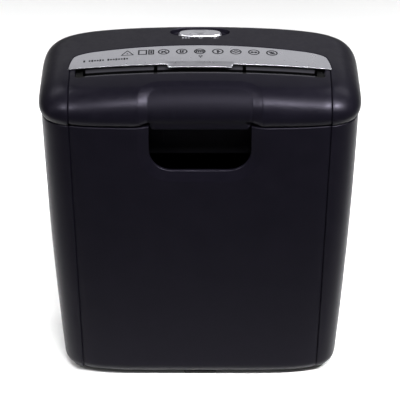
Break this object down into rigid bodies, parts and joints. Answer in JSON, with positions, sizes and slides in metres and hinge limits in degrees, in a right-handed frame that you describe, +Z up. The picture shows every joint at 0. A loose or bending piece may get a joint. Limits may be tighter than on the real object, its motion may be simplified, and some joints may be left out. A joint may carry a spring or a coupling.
{
  "type": "paper shredder",
  "caption": "Lift-off cutting head with paper slot, mode switch, motor and gear train on a tapered waste bin with a hand window",
  "frame": {"origin": "On the floor under the centre of the shredder's box", "axes": "+X to the shredder's right as seen from the front, +Y to its rear, +Z up; the front faces -Y"},
  "size_m": [0.3, 0.152, 0.3216],
  "materials": {
    "black_plastic": "satin moulded charcoal ABS",
    "inner_plastic": "matt black moulding",
    "silver_plastic": "silver-painted plastic",
    "steel": "bright hardened steel",
    "nylon": "natural nylon",
    "brass": "sintered bronze",
    "rubber": "black rubber",
    "board_green": "green circuit board"
  },
  "bodies": {
    "bin": {"bin_shell": "black_plastic", "bin_foot_front": "rubber", "bin_foot_rear": "rubber", "bin_foot_left": "rubber", "bin_foot_right": "rubber"},
    "head": {"head_cover": "black_plastic", "control_panel": "silver_plastic", "throat_guide": "inner_plastic", "lower_housing": "inner_plastic", "housing_screw_1": "steel", "housing_screw_2": "steel", "housing_screw_3": "steel", "housing_screw_4": "steel", "cord_gland": "rubber", "slide_switch": "inner_plastic", "side_plate_left": "steel", "side_plate_right": "steel", "tie_rod_front": "steel", "tie_rod_rear": "steel", "bush_front_left": "brass", "bush_rear_left": "brass", "bush_front_right": "brass", "bush_rear_right": "brass", "stripper_comb_front": "inner_plastic", "stripper_comb_rear": "inner_plastic", "gear_axle_1": "steel", "gear_axle_2": "steel", "gearbox_cover": "inner_plastic", "motor_can": "steel", "motor_screw_1": "steel", "motor_screw_2": "steel", "motor_end_bell": "inner_plastic", "thermal_cutout": "inner_plastic", "circuit_board": "board_green", "power_relay": "inner_plastic", "smoothing_capacitor": "black_plastic", "sensor_pin": "steel", "paper_sensor_switch": "inner_plastic", "interlock_switch": "inner_plastic"},
    "mode_switch": {"switch_knob": "silver_plastic"},
    "motor_rotor": {"motor_shaft": "steel", "motor_pinion": "steel", "cooling_fan": "inner_plastic"},
    "first_wheel": {"compound_gear_1": "nylon"},
    "second_wheel": {"compound_gear_2": "nylon"},
    "rear_cutter": {"cutter_shaft_rear": "steel", "cutter_discs_rear": "steel", "sync_gear_rear": "steel", "cutter_drive_gear": "steel"},
    "front_cutter": {"cutter_shaft_front": "steel", "cutter_discs_front": "steel", "sync_gear_front": "steel"},
    "sensor_lever": {"paper_sensor_lever": "nylon"},
    "plunger": {"interlock_plunger": "nylon"}
  },
  "joints": [
    {"name": "head_lift", "type": "slide", "parent": "bin", "child": "head", "axis": [0, 0, 1], "range_m": [0, 0.06]},
    {"name": "switch_slide", "type": "slide", "parent": "head", "child": "mode_switch", "axis": [1, 0, 0], "range_m": [-0.005, 0.005]},
    {"name": "rear_cutter_spin", "type": "hinge", "parent": "head", "child": "rear_cutter", "pos_m": [0, 0.004, 0.28], "axis": [1, 0, 0], "continuous": true},
    {"name": "front_cutter_spin", "type": "hinge", "parent": "head", "child": "front_cutter", "pos_m": [0, -0.024, 0.28], "axis": [1, 0, 0], "continuous": true},
    {"name": "second_wheel_spin", "type": "hinge", "parent": "head", "child": "second_wheel", "pos_m": [0, 0.02693, 0.27003], "axis": [1, 0, 0], "continuous": true},
    {"name": "first_wheel_spin", "type": "hinge", "parent": "head", "child": "first_wheel", "pos_m": [0, 0.04339, 0.28139], "axis": [1, 0, 0], "continuous": true},
    {"name": "motor_spin", "type": "hinge", "parent": "head", "child": "motor_rotor", "pos_m": [0, 0.0415, 0.2655], "axis": [1, 0, 0], "continuous": true},
    {"name": "sensor_swing", "type": "hinge", "parent": "head", "child": "sensor_lever", "pos_m": [0, -0.004, 0.306], "axis": [1, 0, 0], "range_deg": [0, 18], "stiffness_Nm_per_rad": 0.002, "springref_deg": -8.59},
    {"name": "interlock_press", "type": "slide", "parent": "head", "child": "plunger", "axis": [0, 0, 1], "range_m": [0, 0.001], "stiffness_N_per_m": 300, "springref_m": -0.002}
  ],
  "couplings": [
    {"joint": "front_cutter_spin", "follows": "rear_cutter_spin", "ratio": -1},
    {"joint": "second_wheel_spin", "follows": "rear_cutter_spin", "ratio": -3},
    {"joint": "first_wheel_spin", "follows": "rear_cutter_spin", "ratio": 9},
    {"joint": "motor_spin", "follows": "rear_cutter_spin", "ratio": -27}
  ]
}
